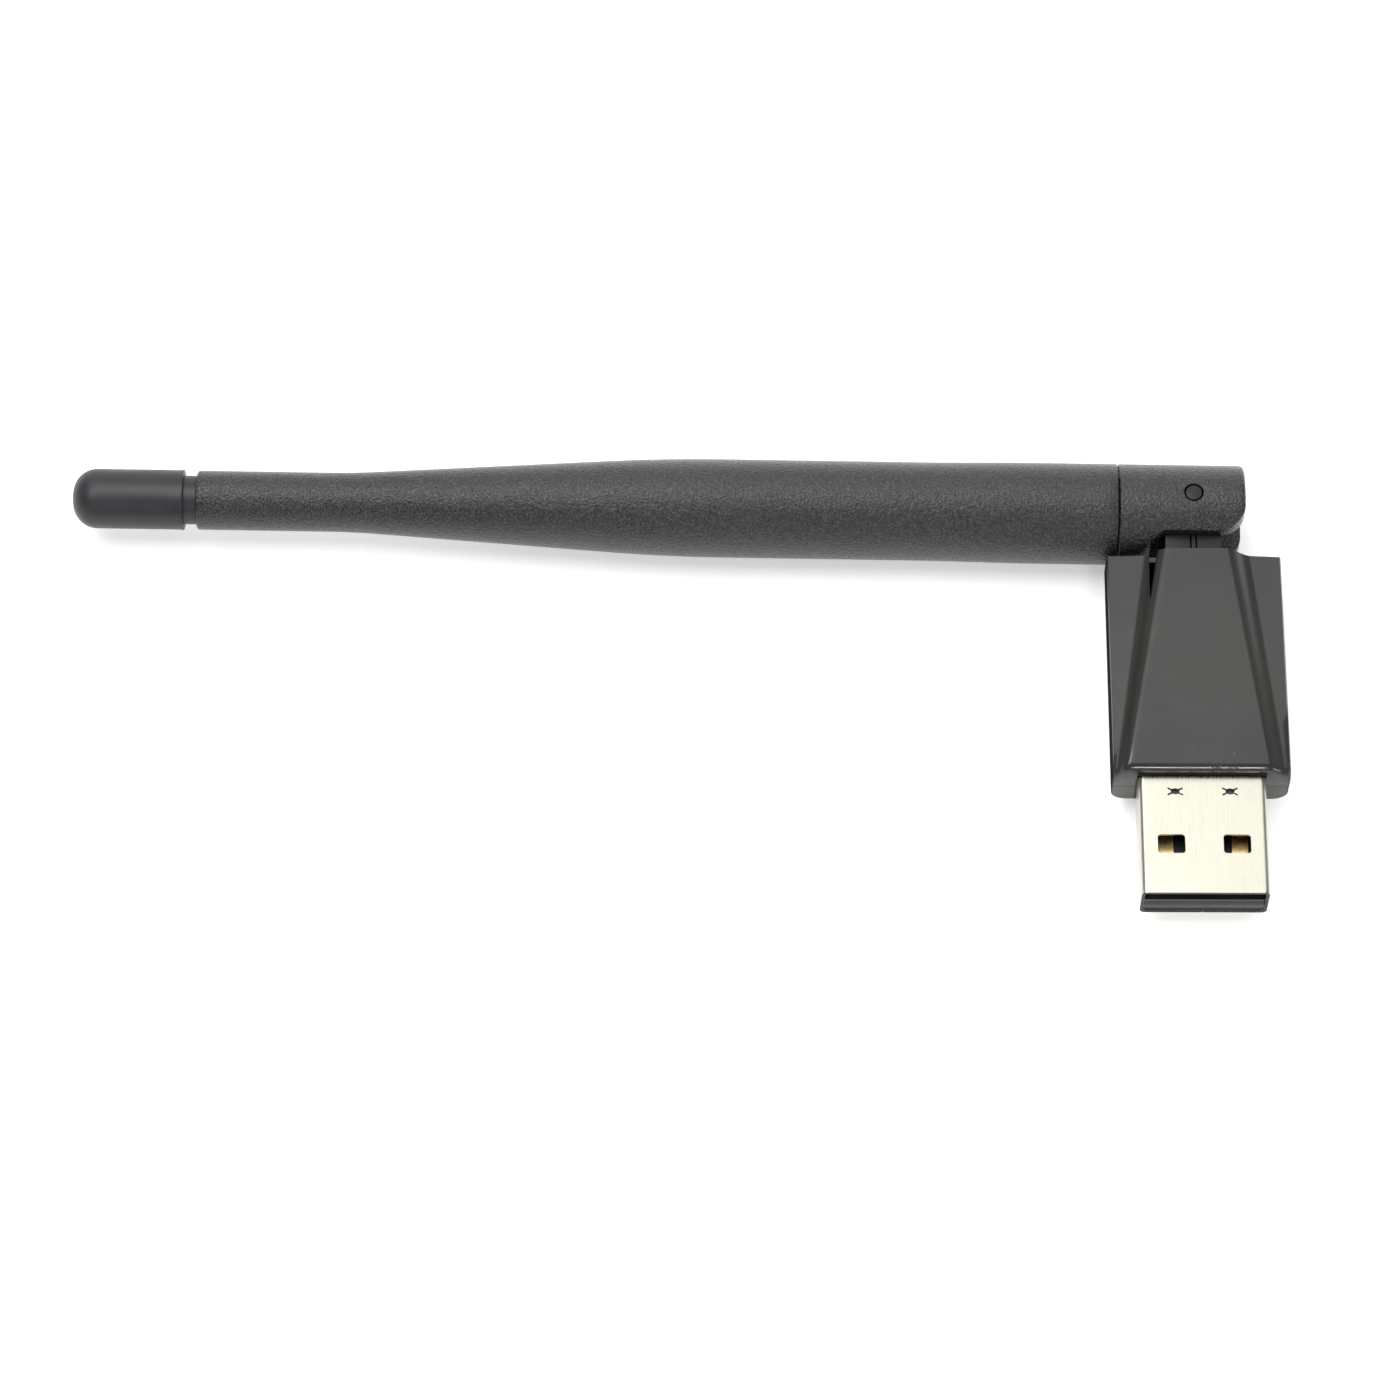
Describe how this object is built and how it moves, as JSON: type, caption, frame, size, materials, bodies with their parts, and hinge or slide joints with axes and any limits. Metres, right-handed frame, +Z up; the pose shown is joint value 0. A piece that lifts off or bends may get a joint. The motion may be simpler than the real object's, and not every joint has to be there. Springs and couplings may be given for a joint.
{
  "type": "usb wireless network adapter",
  "caption": "Stick-type wireless network adapter with a USB plug and a tapered aerial that folds and swivels on the end of its housing.",
  "frame": {"origin": "centre line of the USB plug where it enters the housing", "axes": "+X to the adapter's right, +Y from the plug towards the hinge, +Z up through the housing's raised panel"},
  "size_m": [0.116, 0.0462, 0.0098],
  "materials": {
    "housing_gloss": "glossy moulded black",
    "plug_nickel": "nickel-plated sheet steel",
    "insulator": "black moulded insulator",
    "contact_gold": "gold flash on brass",
    "board_green": "solder mask",
    "chip_black": "moulded epoxy",
    "tinned_metal": "tinned",
    "ferrite": "ferrite grey",
    "ceramic_tan": "ceramic",
    "cable_jacket": "extruded grey-black jacket",
    "swivel_plastic": "satin moulded black",
    "antenna_grain": "fine moulded grain",
    "cap_satin": "smooth satin",
    "radiator_brass": "plain brass",
    "core_white": "fluoropolymer",
    "shrink_black": "shrunk sleeve"
  },
  "bodies": {
    "housing": {"top_shell": "housing_gloss", "bottom_shell": "housing_gloss", "usb_shell": "plug_nickel", "usb_insulator": "insulator", "usb_contacts": "contact_gold", "circuit_board": "board_green", "wifi_chip": "chip_black", "crystal": "tinned_metal", "voltage_regulator": "chip_black", "power_inductor": "ferrite", "chip_capacitors": "ceramic_tan", "chip_resistors": "chip_black", "coax_housing": "cable_jacket", "coax_solder": "tinned_metal"},
    "swivel": {"swivel_knuckle": "swivel_plastic", "coax_stem": "cable_jacket"},
    "antenna": {"hinge_clevis": "antenna_grain", "antenna_tube": "antenna_grain", "tip_cap": "cap_satin", "coax_antenna": "cable_jacket", "sleeve_radiator": "radiator_brass", "core_insulation": "core_white", "radiator_wire": "tinned_metal", "shrink_jacket": "shrink_black"}
  },
  "joints": [
    {"name": "swivel_turn", "type": "hinge", "parent": "housing", "child": "swivel", "pos_m": [0, 0.0225, 0], "axis": [0, 1, 0], "range_deg": [-150, 150]},
    {"name": "antenna_fold", "type": "hinge", "parent": "swivel", "child": "antenna", "pos_m": [0, 0.02882, 0], "axis": [0, 0, -1], "range_deg": [-0.8, 89.2]}
  ]
}
